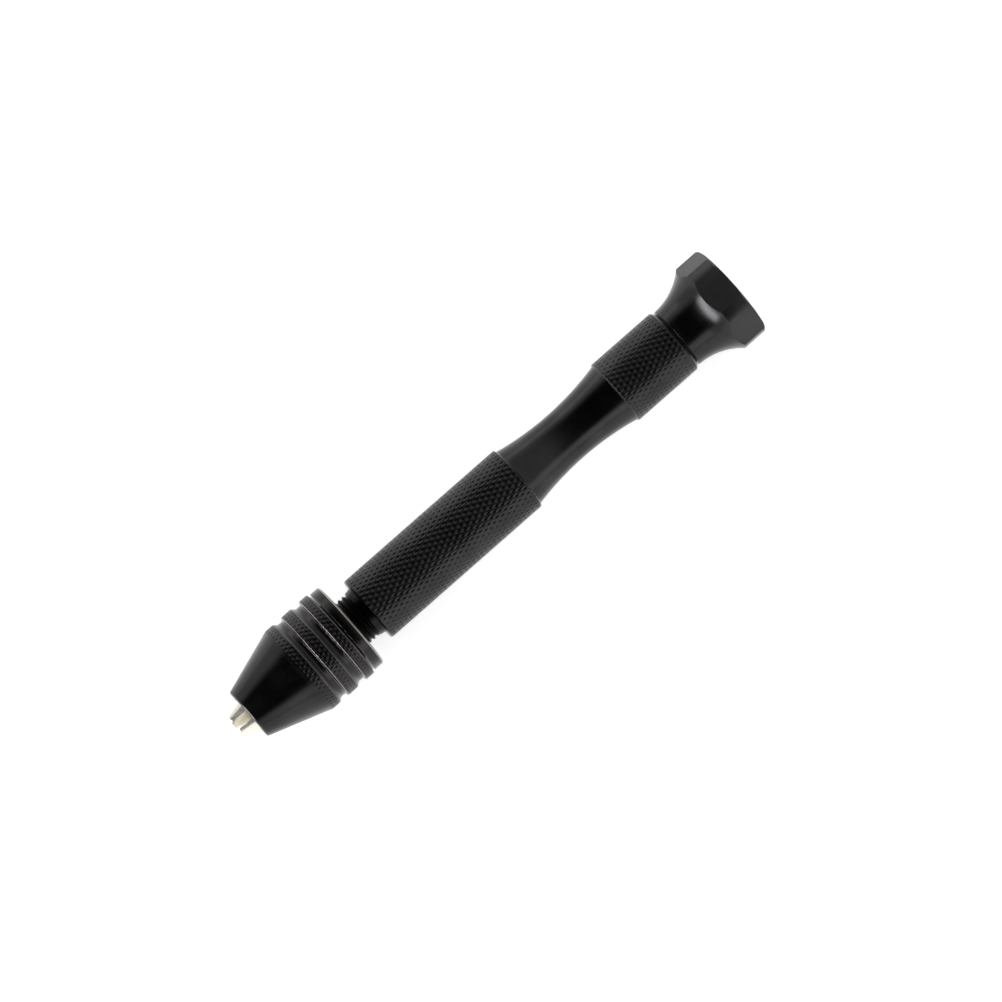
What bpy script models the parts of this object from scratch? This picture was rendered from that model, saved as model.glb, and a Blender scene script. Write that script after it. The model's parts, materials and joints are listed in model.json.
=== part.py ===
"""Pin vise drill: a keyless three-jaw chuck screwed on a knurled aluminium handle, with a palm cap
that spins on a ball bearing.

The tool lies along X with its jaws towards -X and its cap towards +X, and +Z is up. The origin is the
centre of the bottom of the whole tool's box. Along the tool, places are stations: distances from the jaw
tips towards the cap. Sizes are in millimetres, and MM turns them into Blender's metres as a mesh is made.
"""

import math

import bmesh
import bpy
from mathutils import Matrix, Vector

MM = 0.001

# Fits between neighbours
RUNNING_GAP = 0.10  # radial, between a turned piece and the bore around it
SEAT_GAP = 0.30  # axial, between faces that rest on each other
PARTING_GAP = 0.24  # between the turning sleeve and the rear ring
CAP_GAP = 0.26  # between the handle's end and the spinning cap

# Chuck sleeve: nose cone, then three knurled rings with grooves between them
JAW_PROTRUSION = 2.67
NOSE_RADIUS = 4.325
NOSE_EDGE = 0.20
CONE_LENGTH = 9.97
RING_RADIUS = 7.625
RING_WIDTHS = (1.48, 1.90, 1.57)
GROOVE_WIDTHS = (1.57, 1.61)
GROOVE_DEPTH = 0.50
GROOVE_BEVELS = (0.60, 0.20)  # towards the nose, towards the handle
LIP_WIDTH = 0.18
LIP_DEPTH = 0.375

# Jaws, measured when they are closed on nothing
JAW_ANGLE = math.radians(17.0)
JAW_TIP_RADIUS = 1.23
JAW_TIP_EDGE = 0.15
JAW_SHORT_OF_CONE = 2.04  # from a closed jaw's shoulder to the rear of the sleeve's cone
JAW_STRAIGHT_LENGTH = 3.00
JAW_LENGTH = JAW_PROTRUSION + CONE_LENGTH - JAW_SHORT_OF_CONE
JAW_CONE_LENGTH = JAW_LENGTH - JAW_STRAIGHT_LENGTH
JAW_KERF = 0.05  # taken off each side face
JAW_OPENING = 0.80  # how far each jaw stands out from closed, at rest
JAW_OPENING_MAX = 1.70
JAW_OPENING_MIN = 0.15
JAW_COUNT = 3
JAW_TURN = math.radians(11.0)  # turn of the first jaw, seen from above across the gap between the other two
SHANK_RELIEF_RADIUS = 1.00
SHANK_RELIEF_LENGTH = 4.60

# Jaw carrier with its T slots
CARRIER_THREAD_RADIUS = 5.40
CARRIER_THICKNESS = 2.20
SLOT_LIP = 0.70  # carrier metal in front of the T head
TEE_THICKNESS = 0.70
TEE_WIDTH = 2.40
TEE_NECK_WIDTH = 1.20
TEE_INNER = 1.30
TEE_OUTER = 3.20
SLOT_GAP = 0.10
SHANK_HOLE_RADIUS = 1.90

# Guide pins that stop the carrier turning
PIN_RADIUS = 0.50
PIN_CIRCLE_RADIUS = 4.35
PIN_ENGAGEMENT = 1.47  # length left inside the carrier when the jaws are closed

# Chuck body and rear ring
BODY_WALL = 1.50  # metal between the carrier space and the threaded bore
RETAINING_GROOVE_FROM_REAR = 1.85
RETAINING_GROOVE_WIDTH = 1.20
RETAINING_GROOVE_DEPTH = 0.45
RETAINING_RING_THICKNESS = 0.60
RETAINING_RING_GAP = 2.20
SLEEVE_GROOVE_DEPTH = 0.50
REAR_RING_RADIUS = 7.375
REAR_RING_WIDTH = 1.71
REAR_RING_EDGE = 0.30
HUB_RADIUS = 5.10

# Threaded stud, M8 x 0.75
STUD_RADIUS = 4.00
STUD_TIP_CHAMFER = 0.40
THREAD_EXPOSED = 2.20
COLLAR_RADIUS = 4.20
COLLAR_EXPOSED = 1.00
COLLAR_SEAT_DEPTH = 0.80
STUD_TAIL_RADIUS = 3.00
STUD_TAIL_LENGTH = 9.40

# Handle
GRIP_RADIUS = 5.45
GRIP_EDGE = 0.20
LOWER_GRIP_LENGTH = 29.75
WAIST_LENGTH = 19.10
WAIST_FRONT_RADIUS = 5.05
WAIST_REAR_RADIUS = 5.15
WAIST_RADIUS = 4.13
WAIST_NARROWEST = 9.11  # from the start of the waist
UPPER_GRIP_LENGTH = 12.05
END_CHAMFER = 0.43
SPIGOT_LENGTH = 0.50

# Ball bearing, 4 x 9 x 2.5
BEARING_OUTER_RADIUS = 4.50
BEARING_BORE_RADIUS = 2.00
BEARING_WIDTH = 2.50
BALL_COUNT = 7
BALL_RADIUS = 0.72
BALL_CIRCLE_RADIUS = (BEARING_OUTER_RADIUS + BEARING_BORE_RADIUS) / 2
RACE_GAP = 0.06
RACE_LANDS = (BALL_CIRCLE_RADIUS - 0.50, BALL_CIRCLE_RADIUS + 0.55)
CAGE_RADII = (BALL_CIRCLE_RADIUS - 0.30, BALL_CIRCLE_RADIUS + 0.35)
CAGE_WIDTH = 2.20

# Pivot screw and washer
WASHER_RADIUS = 2.75
WASHER_THICKNESS = 0.50
SCREW_HEAD_RADIUS = 3.00
SCREW_HEAD_HEIGHT = 2.00
SCREW_SOCKET = 2.00  # across flats
SCREW_SOCKET_DEPTH = 1.20
SCREW_THREAD_RADIUS = 1.45
SCREW_THREAD_LENGTH = 7.50

# Palm cap
COLLAR_OUTER_RADIUS = 5.135
FLARE_LENGTH = 6.78
HEAD_RADIUS = 7.835
HEAD_LENGTH = 3.86
HEAD_CHAMFER = 0.34
DOME_HEIGHT = 0.31
ACROSS_FLATS = 14.46
SCREW_POCKET_RADIUS = 3.50
SCREW_POCKET_CLEARANCE = 0.60

# Roundness: facets around a piece
FACETS_LARGE = 40
FACETS_SMALL = 24
BALL_FACETS = (12, 8)
ARC_POINTS = 5
LONG_ARC_POINTS = 10
EDGE_ARC_POINTS = 4
MERGE_DISTANCE = 0.00001

# Stations
NOSE_FACE = JAW_PROTRUSION
RING_FRONTS = [NOSE_FACE + CONE_LENGTH]
for ring_width, groove_width in zip(RING_WIDTHS, GROOVE_WIDTHS):
    RING_FRONTS.append(RING_FRONTS[-1] + ring_width + groove_width)
LAST_RING_REAR = RING_FRONTS[-1] + RING_WIDTHS[-1]
SLEEVE_REAR = LAST_RING_REAR + LIP_WIDTH
REAR_RING_FRONT = SLEEVE_REAR + PARTING_GAP
REAR_RING_REAR = REAR_RING_FRONT + REAR_RING_WIDTH
THREAD_END = REAR_RING_REAR + THREAD_EXPOSED
HANDLE_FRONT = THREAD_END + COLLAR_EXPOSED
WAIST_FRONT = HANDLE_FRONT + LOWER_GRIP_LENGTH
WAIST_REAR = WAIST_FRONT + WAIST_LENGTH
HANDLE_REAR = WAIST_REAR + UPPER_GRIP_LENGTH
CAP_FRONT = HANDLE_REAR + CAP_GAP
HEAD_FRONT = CAP_FRONT + FLARE_LENGTH
CHAMFER_FRONT = HEAD_FRONT + HEAD_LENGTH
DOME_EDGE = CHAMFER_FRONT + HEAD_CHAMFER
TOOL_LENGTH = DOME_EDGE + DOME_HEIGHT
AXIS_HEIGHT = max(RING_RADIUS, ACROSS_FLATS / 2, REAR_RING_RADIUS)

# The jaws and the carrier move back by this much for each unit that the jaws open
BACK_PER_OPENING = 1 / math.tan(JAW_ANGLE)
TRAVEL_TO_CLOSED = (JAW_OPENING - JAW_OPENING_MIN) * BACK_PER_OPENING
TRAVEL_TO_OPEN = (JAW_OPENING_MAX - JAW_OPENING) * BACK_PER_OPENING
CARRIER_FRONT = JAW_LENGTH + SEAT_GAP
CARRIER_REAR = CARRIER_FRONT + CARRIER_THICKNESS
CHAMBER_RADIUS = CARRIER_THREAD_RADIUS + RUNNING_GAP
CHAMBER_FRONT = CARRIER_FRONT - TRAVEL_TO_CLOSED - SEAT_GAP / 2
BODY_FRONT = CARRIER_REAR + TRAVEL_TO_OPEN + SEAT_GAP
BODY_BORE_FRONT = BODY_FRONT + BODY_WALL
BODY_RADIUS = CARRIER_THREAD_RADIUS
RETAINING_GROOVE_REAR = SLEEVE_REAR - RETAINING_GROOVE_FROM_REAR
RETAINING_GROOVE_FRONT = RETAINING_GROOVE_REAR - RETAINING_GROOVE_WIDTH
STUD_TIP = BODY_BORE_FRONT + SEAT_GAP
COLLAR_REAR = HANDLE_FRONT + COLLAR_SEAT_DEPTH - SEAT_GAP
SPIGOT_END = HANDLE_REAR + SPIGOT_LENGTH
WASHER_FRONT = SPIGOT_END + SEAT_GAP
BEARING_FRONT = WASHER_FRONT + WASHER_THICKNESS + SEAT_GAP
BEARING_REAR = BEARING_FRONT + BEARING_WIDTH
SCREW_HEAD_FRONT = BEARING_REAR + SEAT_GAP
SCREW_HEAD_REAR = SCREW_HEAD_FRONT + SCREW_HEAD_HEIGHT
SHOULDER_RADIUS = BEARING_BORE_RADIUS - RUNNING_GAP
BEARING_SEAT_RADIUS = BEARING_OUTER_RADIUS + RUNNING_GAP


def clear_scene():
    for obj in list(bpy.data.objects):
        bpy.data.objects.remove(obj, do_unlink=True)


def new_collection(name):
    collection = bpy.data.collections.new(name)
    bpy.context.scene.collection.children.link(collection)
    return collection


def finish(name, colour, roughness, metallic):
    """A Principled material for one piece."""
    material = bpy.data.materials.new(name)
    material.use_nodes = True
    shader = material.node_tree.nodes["Principled BSDF"]
    shader.inputs["Base Color"].default_value = (*colour, 1.0)
    shader.inputs["Roughness"].default_value = roughness
    shader.inputs["Metallic"].default_value = metallic
    return material


BLACK_ANODISED = ((0.028, 0.028, 0.030), 0.38, 0.55)
BLACK_OXIDE = ((0.022, 0.021, 0.022), 0.34, 0.70)
BLACK_STEEL = ((0.035, 0.033, 0.034), 0.45, 0.85)
BRIGHT_STEEL = ((0.78, 0.75, 0.70), 0.24, 1.0)
BEARING_STEEL = ((0.66, 0.67, 0.69), 0.18, 1.0)
SPRING_STEEL = ((0.40, 0.41, 0.43), 0.32, 1.0)
BRASS = ((0.72, 0.52, 0.24), 0.35, 1.0)


def along_tool(station, turn=0.0, radius=0.0):
    """Where a piece drawn around local Z stands: its local Z runs along the tool and its local X, turned
    about the tool's axis, carries it out by radius. With no turn, local X points down."""
    centre = Matrix.Translation(Vector((station - TOOL_LENGTH / 2, 0, AXIS_HEIGHT)) * MM)
    lie_down = Matrix.Rotation(turn, 4, "X") @ Matrix.Rotation(math.pi / 2, 4, "Y")
    return centre @ lie_down @ Matrix.Translation((radius * MM, 0, 0))


def add_object(name, mesh, place, look=None):
    """Links a mesh as a named piece with its own material, or as a cutter when it has no look."""
    obj = bpy.data.objects.new(name, mesh)
    obj.matrix_world = place
    if look is None:
        CUTTERS.objects.link(obj)
        obj.hide_render = True
        obj.display_type = "WIRE"
    else:
        TOOL.objects.link(obj)
        mesh.materials.append(finish(name + "_finish", *look))
    return obj


def outline_mesh(name, outline, closed):
    """A mesh of edges through (radius, station) points, in a piece's own frame."""
    mesh = bmesh.new()
    points = [mesh.verts.new((radius * MM, 0, station * MM)) for radius, station in outline]
    for first, second in zip(points, points[1:]):
        mesh.edges.new((first, second))
    if closed:
        mesh.edges.new((points[-1], points[0]))
    data = bpy.data.meshes.new(name)
    mesh.to_mesh(data)
    mesh.free()
    return data


def turned(name, outline, look=None, facets=FACETS_LARGE, closed=True, place=None):
    """A turned piece. The outline runs down its outer side from the cap towards the nose. A ring's
    outline is closed; a solid's starts and ends on the axis."""
    data = outline_mesh(name, outline, closed)
    obj = add_object(name, data, place or along_tool(0), look)
    screw = obj.modifiers.new("turn", "SCREW")
    screw.axis = "Z"
    screw.angle = math.tau
    screw.steps = facets
    screw.render_steps = facets
    screw.use_merge_vertices = True
    screw.merge_threshold = MERGE_DISTANCE
    screw.use_smooth_shade = True
    return obj


def solid(name, outline, look=None, facets=FACETS_LARGE, place=None):
    return turned(name, outline, look, facets, False, place)


def block(name, low, high, place, look=None):
    """A box between two corners in a piece's own frame."""
    mesh = bmesh.new()
    bmesh.ops.create_cube(mesh, size=1.0)
    low = Vector(low) * MM
    high = Vector(high) * MM
    bmesh.ops.scale(mesh, vec=high - low, verts=mesh.verts)
    bmesh.ops.translate(mesh, vec=(low + high) / 2, verts=mesh.verts)
    data = bpy.data.meshes.new(name)
    mesh.to_mesh(data)
    mesh.free()
    return add_object(name, data, place, look)


def prism(name, radius, low, high, place, sides, turn=0.0, look=None):
    """A cylinder or a regular prism along a piece's local Z, from station low to station high."""
    mesh = bmesh.new()
    size = {"radius1": radius * MM, "radius2": radius * MM, "depth": (high - low) * MM}
    bmesh.ops.create_cone(mesh, cap_ends=True, segments=sides, **size)
    bmesh.ops.rotate(mesh, cent=(0, 0, 0), matrix=Matrix.Rotation(turn, 3, "Z"), verts=mesh.verts)
    bmesh.ops.translate(mesh, vec=(0, 0, (low + high) / 2 * MM), verts=mesh.verts)
    data = bpy.data.meshes.new(name)
    mesh.to_mesh(data)
    mesh.free()
    return add_object(name, data, place, look)


def combine(obj, tool, operation):
    boolean = obj.modifiers.new(tool.name, "BOOLEAN")
    boolean.operation = operation
    boolean.solver = "EXACT"
    boolean.object = tool
    return obj


def sweep(centre, radius, start, end, count=ARC_POINTS):
    """Points along an arc, as (radius, station) pairs, from one angle to another."""
    step = (end - start) / (count - 1)
    angles = [start + step * index for index in range(count)]
    return [(centre[0] + radius * math.cos(a), centre[1] + radius * math.sin(a)) for a in angles]


def arc_through(first, middle, last, count=ARC_POINTS):
    """Points on the circle through three (radius, station) pairs, from the first to the last."""
    a, b, c = Vector(first), Vector(middle), Vector(last)
    twice_area = 2 * (a.x * (b.y - c.y) + b.x * (c.y - a.y) + c.x * (a.y - b.y))
    squares = a.length_squared, b.length_squared, c.length_squared
    x = (squares[0] * (b.y - c.y) + squares[1] * (c.y - a.y) + squares[2] * (a.y - b.y)) / twice_area
    y = (squares[0] * (c.x - b.x) + squares[1] * (a.x - c.x) + squares[2] * (b.x - a.x)) / twice_area
    start = math.atan2(a.y - y, a.x - x) % math.tau
    end = math.atan2(c.y - y, c.x - x) % math.tau
    return sweep((x, y), (a - Vector((x, y))).length, start, end, count)


def shade_round_pieces():
    """Round faces look round and flat ones flat."""
    for obj in TOOL.objects:
        obj.data.shade_smooth()
        soften = obj.modifiers.new("soft_normals", "WEIGHTED_NORMAL")
        soften.weight = 100


def jaw_turns():
    return [JAW_TURN + index * math.tau / JAW_COUNT for index in range(JAW_COUNT)]


def pin_turns():
    return [turn + math.pi / JAW_COUNT for turn in jaw_turns()]


def sleeve_opening(station):
    """Radius of the sleeve's inner cone, on which the jaws slide."""
    jaw_line = JAW_TIP_RADIUS + JAW_OPENING + station * math.tan(JAW_ANGLE)
    return jaw_line + RUNNING_GAP


def add_sleeve():
    outline = [(CHAMBER_RADIUS, SLEEVE_REAR), (RING_RADIUS - LIP_DEPTH, SLEEVE_REAR)]
    outline.append((RING_RADIUS - LIP_DEPTH, LAST_RING_REAR))
    front_bevel, rear_bevel = GROOVE_BEVELS
    floor = RING_RADIUS - GROOVE_DEPTH
    outline.append((RING_RADIUS, LAST_RING_REAR))
    for ring in (2, 1):
        front = RING_FRONTS[ring]
        groove_front = RING_FRONTS[ring - 1] + RING_WIDTHS[ring - 1]
        outline.append((RING_RADIUS, front))
        outline.append((floor, front - rear_bevel))
        outline.append((floor, groove_front + front_bevel))
        outline.append((RING_RADIUS, groove_front))
    outline.append((RING_RADIUS, RING_FRONTS[0]))
    cone_slope = (RING_RADIUS - NOSE_RADIUS) / CONE_LENGTH
    outline.append((NOSE_RADIUS + NOSE_EDGE * cone_slope, NOSE_FACE + NOSE_EDGE))
    outline.append((NOSE_RADIUS - NOSE_EDGE, NOSE_FACE))
    outline.append((sleeve_opening(NOSE_FACE), NOSE_FACE))
    cone_end = CHAMBER_FRONT - SEAT_GAP
    outline.append((sleeve_opening(cone_end), cone_end))
    outline.append((CHAMBER_RADIUS, CHAMBER_FRONT))
    outline.append((CHAMBER_RADIUS, RETAINING_GROOVE_FRONT))
    outline.append((CHAMBER_RADIUS + SLEEVE_GROOVE_DEPTH, RETAINING_GROOVE_FRONT))
    outline.append((CHAMBER_RADIUS + SLEEVE_GROOVE_DEPTH, RETAINING_GROOVE_REAR))
    outline.append((CHAMBER_RADIUS, RETAINING_GROOVE_REAR))
    turned("chuck_sleeve", outline, BLACK_OXIDE)


def add_chuck_body():
    bore = STUD_RADIUS + RUNNING_GAP
    neck = BODY_RADIUS - RETAINING_GROOVE_DEPTH
    hub_rear = REAR_RING_REAR - RUNNING_GAP
    outline = [
        (bore, hub_rear),
        (HUB_RADIUS, hub_rear),
        (HUB_RADIUS, SLEEVE_REAR),
        (BODY_RADIUS, SLEEVE_REAR),
        (BODY_RADIUS, RETAINING_GROOVE_REAR),
        (neck, RETAINING_GROOVE_REAR),
        (neck, RETAINING_GROOVE_FRONT),
        (BODY_RADIUS, RETAINING_GROOVE_FRONT),
        (BODY_RADIUS, BODY_FRONT),
        (SHANK_HOLE_RADIUS, BODY_FRONT),
        (SHANK_HOLE_RADIUS, BODY_BORE_FRONT),
        (bore, BODY_BORE_FRONT),
    ]
    body = turned("chuck_body", outline, BLACK_STEEL)
    for number, turn in enumerate(pin_turns(), 1):
        place = along_tool(0, turn, PIN_CIRCLE_RADIUS)
        low = BODY_FRONT - SEAT_GAP
        high = BODY_BORE_FRONT + SEAT_GAP
        name = f"cut_body_pin_hole_{number}"
        combine(body, prism(name, PIN_RADIUS + SLOT_GAP, low, high, place, FACETS_SMALL), "DIFFERENCE")


def add_rear_ring():
    inner = HUB_RADIUS + RUNNING_GAP
    corner = (REAR_RING_RADIUS - REAR_RING_EDGE, REAR_RING_REAR - REAR_RING_EDGE)
    outline = [(inner, REAR_RING_REAR)]
    outline += sweep(corner, REAR_RING_EDGE, math.pi / 2, 0, EDGE_ARC_POINTS)
    outline += [(REAR_RING_RADIUS, REAR_RING_FRONT), (inner, REAR_RING_FRONT)]
    turned("chuck_rear_ring", outline, BLACK_OXIDE)


def add_retaining_ring():
    inner = BODY_RADIUS - RETAINING_GROOVE_DEPTH + RUNNING_GAP
    outer = CHAMBER_RADIUS + SLEEVE_GROOVE_DEPTH - RUNNING_GAP
    middle = (RETAINING_GROOVE_FRONT + RETAINING_GROOVE_REAR) / 2
    front = middle - RETAINING_RING_THICKNESS / 2
    rear = middle + RETAINING_RING_THICKNESS / 2
    outline = [(inner, rear), (outer, rear), (outer, front), (inner, front)]
    ring = turned("sleeve_retaining_ring", outline, SPRING_STEEL)
    half = RETAINING_RING_GAP / 2
    low = (inner / 2, -half, front - SEAT_GAP)
    high = (outer + SEAT_GAP, half, rear + SEAT_GAP)
    combine(ring, block("cut_retaining_ring_gap", low, high, along_tool(0)), "DIFFERENCE")


def add_carrier():
    outline = [
        (SHANK_HOLE_RADIUS, CARRIER_REAR),
        (CARRIER_THREAD_RADIUS, CARRIER_REAR),
        (CARRIER_THREAD_RADIUS, CARRIER_FRONT),
        (SHANK_HOLE_RADIUS, CARRIER_FRONT),
    ]
    carrier = turned("jaw_carrier", outline, BRASS)
    slot_end = CARRIER_THREAD_RADIUS + SEAT_GAP
    neck = TEE_NECK_WIDTH / 2 + SLOT_GAP
    head = TEE_WIDTH / 2 + SLOT_GAP
    head_front = CARRIER_FRONT + SLOT_LIP
    head_rear = head_front + TEE_THICKNESS + 2 * SLOT_GAP
    for number, turn in enumerate(jaw_turns(), 1):
        place = along_tool(0, turn)
        low = (0, -neck, CARRIER_FRONT - SEAT_GAP)
        high = (slot_end, neck, head_rear)
        combine(carrier, block(f"cut_slot_neck_{number}", low, high, place), "DIFFERENCE")
        low = (0, -head, head_front)
        high = (slot_end, head, head_rear)
        combine(carrier, block(f"cut_slot_head_{number}", low, high, place), "DIFFERENCE")
    for number, turn in enumerate(pin_turns(), 1):
        place = along_tool(0, turn, PIN_CIRCLE_RADIUS)
        low = CARRIER_FRONT - SEAT_GAP
        high = CARRIER_REAR + SEAT_GAP
        name = f"cut_carrier_pin_hole_{number}"
        combine(carrier, prism(name, PIN_RADIUS + SLOT_GAP, low, high, place, FACETS_SMALL), "DIFFERENCE")


def add_guide_pins():
    front = CARRIER_REAR - TRAVEL_TO_CLOSED - PIN_ENGAGEMENT
    rear = BODY_BORE_FRONT - SEAT_GAP
    for number, turn in enumerate(pin_turns(), 1):
        place = along_tool(0, turn, PIN_CIRCLE_RADIUS)
        prism(f"guide_pin_{number}", PIN_RADIUS, front, rear, place, FACETS_SMALL, look=BEARING_STEEL)


def add_jaw(number, turn):
    """One jaw, cut from a cone that the three make when they are closed, with a T tail for the carrier."""
    place = along_tool(0, turn, JAW_OPENING)
    slope = math.tan(JAW_ANGLE)
    shoulder = JAW_TIP_RADIUS + JAW_CONE_LENGTH * slope
    outline = [
        (0, JAW_LENGTH),
        (shoulder, JAW_LENGTH),
        (shoulder, JAW_CONE_LENGTH),
        (JAW_TIP_RADIUS + JAW_TIP_EDGE * slope, JAW_TIP_EDGE),
        (JAW_TIP_RADIUS - JAW_TIP_EDGE, 0),
        (0, 0),
    ]
    jaw = solid(f"jaw_{number}", outline, BRIGHT_STEEL, place=place)
    reach = 2 * shoulder
    for side in (1, -1):
        lean = Matrix.Rotation(side * math.pi / JAW_COUNT, 4, "Z")
        low = (-reach, -JAW_KERF if side > 0 else -reach, -reach)
        high = (reach, reach if side > 0 else JAW_KERF, 2 * JAW_LENGTH)
        cutter = block(f"cut_jaw_{number}_side_{side + 2}", low, high, place @ lean)
        combine(jaw, cutter, "DIFFERENCE")
    relief = prism(
        f"cut_jaw_{number}_relief",
        SHANK_RELIEF_RADIUS,
        JAW_LENGTH - SHANK_RELIEF_LENGTH,
        JAW_LENGTH + SEAT_GAP,
        place,
        FACETS_SMALL,
        turn=math.pi / FACETS_SMALL,
    )
    combine(jaw, relief, "DIFFERENCE")
    head_front = CARRIER_FRONT + SLOT_LIP + SLOT_GAP
    head_rear = head_front + TEE_THICKNESS
    neck = TEE_NECK_WIDTH / 2
    low = (TEE_INNER, -neck, JAW_LENGTH - SEAT_GAP)
    high = (TEE_OUTER, neck, head_rear)
    combine(jaw, block(f"join_jaw_{number}_neck", low, high, place), "UNION")
    low = (TEE_INNER, -TEE_WIDTH / 2, head_front)
    high = (TEE_OUTER, TEE_WIDTH / 2, head_rear)
    combine(jaw, block(f"join_jaw_{number}_head", low, high, place), "UNION")


def add_stud():
    tail_end = COLLAR_REAR + STUD_TAIL_LENGTH
    outline = [
        (0, tail_end),
        (STUD_TAIL_RADIUS, tail_end),
        (STUD_TAIL_RADIUS, COLLAR_REAR),
        (COLLAR_RADIUS, COLLAR_REAR),
        (COLLAR_RADIUS, HANDLE_FRONT),
        (STUD_RADIUS, THREAD_END),
        (STUD_RADIUS, STUD_TIP + STUD_TIP_CHAMFER),
        (STUD_RADIUS - STUD_TIP_CHAMFER, STUD_TIP),
        (0, STUD_TIP),
    ]
    solid("threaded_stud", outline, BLACK_STEEL)


def add_handle():
    screw_hole = SCREW_THREAD_RADIUS + RUNNING_GAP
    screw_hole_end = SPIGOT_END - SCREW_THREAD_LENGTH - SEAT_GAP
    stud_hole = STUD_TAIL_RADIUS + RUNNING_GAP
    stud_hole_end = COLLAR_REAR + STUD_TAIL_LENGTH + SEAT_GAP
    collar_seat = COLLAR_RADIUS + RUNNING_GAP
    waist = arc_through(
        (WAIST_REAR_RADIUS, WAIST_REAR),
        (WAIST_RADIUS, WAIST_FRONT + WAIST_NARROWEST),
        (WAIST_FRONT_RADIUS, WAIST_FRONT),
        LONG_ARC_POINTS,
    )
    outline = [
        (0, screw_hole_end),
        (screw_hole, screw_hole_end),
        (screw_hole, SPIGOT_END),
        (BEARING_OUTER_RADIUS, SPIGOT_END),
        (BEARING_OUTER_RADIUS, HANDLE_REAR),
        (GRIP_RADIUS - END_CHAMFER, HANDLE_REAR),
        (GRIP_RADIUS, HANDLE_REAR - END_CHAMFER),
        (GRIP_RADIUS, WAIST_REAR),
        *waist,
        (GRIP_RADIUS, WAIST_FRONT),
        (GRIP_RADIUS, HANDLE_FRONT + GRIP_EDGE),
        (GRIP_RADIUS - GRIP_EDGE, HANDLE_FRONT),
        (collar_seat, HANDLE_FRONT),
        (collar_seat, HANDLE_FRONT + COLLAR_SEAT_DEPTH),
        (stud_hole, HANDLE_FRONT + COLLAR_SEAT_DEPTH),
        (stud_hole, stud_hole_end),
        (0, stud_hole_end),
    ]
    solid("handle_body", outline, BLACK_ANODISED)


def race_arc(outer):
    """The ball groove in a bearing ring, in the direction that its outline runs."""
    middle = (BEARING_FRONT + BEARING_REAR) / 2
    radius = BALL_RADIUS + RACE_GAP
    land = RACE_LANDS[1] if outer else RACE_LANDS[0]
    reach = math.acos(abs(land - BALL_CIRCLE_RADIUS) / radius)
    centre = (BALL_CIRCLE_RADIUS, middle)
    if outer:
        return sweep(centre, radius, -reach, reach)
    return sweep(centre, radius, math.pi - reach, math.pi + reach)


def add_bearing_rings():
    inner_land, outer_land = RACE_LANDS
    inner = [(BEARING_BORE_RADIUS, BEARING_REAR), (inner_land, BEARING_REAR)]
    inner += race_arc(False)
    inner += [(inner_land, BEARING_FRONT), (BEARING_BORE_RADIUS, BEARING_FRONT)]
    turned("bearing_inner_ring", inner, BEARING_STEEL, FACETS_SMALL)
    outer = [(outer_land, BEARING_REAR), (BEARING_OUTER_RADIUS, BEARING_REAR)]
    outer += [(BEARING_OUTER_RADIUS, BEARING_FRONT), (outer_land, BEARING_FRONT)]
    outer += race_arc(True)
    turned("bearing_outer_ring", outer, BEARING_STEEL, FACETS_SMALL)


def ball_turns():
    return [index * math.tau / BALL_COUNT for index in range(BALL_COUNT)]


def add_cage_and_balls():
    middle = (BEARING_FRONT + BEARING_REAR) / 2
    inner, outer = CAGE_RADII
    front = middle - CAGE_WIDTH / 2
    rear = middle + CAGE_WIDTH / 2
    outline = [(inner, rear), (outer, rear), (outer, front), (inner, front)]
    cage = turned("bearing_cage", outline, BRASS, FACETS_SMALL)
    for number, turn in enumerate(ball_turns(), 1):
        place = along_tool(middle, turn, BALL_CIRCLE_RADIUS)
        outwards = Matrix.Rotation(math.pi / 2, 4, "Y")
        pocket_radius = BALL_RADIUS + SLOT_GAP
        name = f"cut_ball_pocket_{number}"
        pocket = prism(name, pocket_radius, -BALL_RADIUS, BALL_RADIUS, place @ outwards, BALL_FACETS[0])
        combine(cage, pocket, "DIFFERENCE")
        mesh = bmesh.new()
        around, along = BALL_FACETS
        bmesh.ops.create_uvsphere(mesh, u_segments=around, v_segments=along, radius=BALL_RADIUS * MM)
        data = bpy.data.meshes.new(f"bearing_ball_{number}")
        mesh.to_mesh(data)
        mesh.free()
        add_object(data.name, data, place, BEARING_STEEL)


def add_pivot():
    outline = [
        (SHOULDER_RADIUS + RUNNING_GAP, WASHER_FRONT + WASHER_THICKNESS),
        (WASHER_RADIUS, WASHER_FRONT + WASHER_THICKNESS),
        (WASHER_RADIUS, WASHER_FRONT),
        (SHOULDER_RADIUS + RUNNING_GAP, WASHER_FRONT),
    ]
    turned("pivot_washer", outline, BEARING_STEEL, FACETS_SMALL)
    shoulder_end = SPIGOT_END + RUNNING_GAP
    outline = [
        (0, SCREW_HEAD_REAR),
        (SCREW_HEAD_RADIUS, SCREW_HEAD_REAR),
        (SCREW_HEAD_RADIUS, SCREW_HEAD_FRONT),
        (SHOULDER_RADIUS, SCREW_HEAD_FRONT),
        (SHOULDER_RADIUS, shoulder_end),
        (SCREW_THREAD_RADIUS, shoulder_end),
        (SCREW_THREAD_RADIUS, SPIGOT_END - SCREW_THREAD_LENGTH),
        (0, SPIGOT_END - SCREW_THREAD_LENGTH),
    ]
    screw = solid("cap_pivot_screw", outline, SPRING_STEEL, FACETS_SMALL)
    socket = prism(
        "cut_screw_socket",
        SCREW_SOCKET / 2 / math.cos(math.pi / 6),
        SCREW_HEAD_REAR - SCREW_SOCKET_DEPTH,
        SCREW_HEAD_REAR + SEAT_GAP,
        along_tool(0),
        6,
    )
    combine(screw, socket, "DIFFERENCE")


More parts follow.
